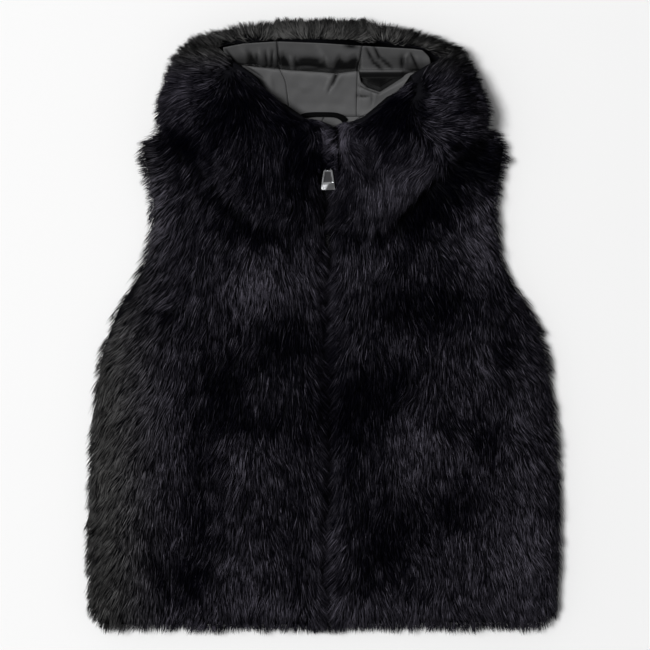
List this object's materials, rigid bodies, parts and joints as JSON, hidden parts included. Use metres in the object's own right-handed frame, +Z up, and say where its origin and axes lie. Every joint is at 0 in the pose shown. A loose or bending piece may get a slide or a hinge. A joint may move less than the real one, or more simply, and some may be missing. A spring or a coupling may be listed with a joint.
{
  "type": "hooded faux fur vest, laid flat",
  "caption": "Sleeveless hooded vest of black long-pile faux fur, zipped to the chin and laid flat on its back, with a grey satin hood lining and a zip pull that swings.",
  "frame": {"origin": "on the ground under the middle of the laid vest, fur reach included", "axes": "+X to the right of the laid vest seen from above, which is the wearer's left, +Y from the hem to the top of the hood, +Z up from the ground out of the vest's front"},
  "size_m": [0.5188, 0.666, 0.0642],
  "materials": {
    "black_fur": "long lying pile with soft clumps, dull with a fine grey sheen on the tips",
    "grey_satin": "smooth woven satin with a soft sheen and creases",
    "black_cord": "matt round braided cord",
    "black_tape": "matt woven zip tape",
    "black_plastic": "moulded zip teeth with a dull gloss",
    "bright_metal": "polished silver-coloured plating"
  },
  "bodies": {
    "vest": {"back": "black_fur", "front_left": "black_fur", "front_right": "black_fur", "hood_centre": "black_fur", "hood_side_left": "black_fur", "hood_side_right": "black_fur", "lining_left": "grey_satin", "lining_centre": "grey_satin", "lining_right": "grey_satin", "neck_facing": "grey_satin", "hanger_loop": "black_cord", "zip_tape_left": "black_tape", "zip_tape_right": "black_tape", "zip_chain": "black_plastic", "zip_slider": "bright_metal"},
    "pull": {"zip_pull": "bright_metal"}
  },
  "joints": [
    {"name": "zip_pull_hinge", "type": "hinge", "parent": "vest", "child": "pull", "pos_m": [0.0045, 0.18, 0.05037], "axis": [-1, 0, 0], "range_deg": [0, 150]}
  ]
}
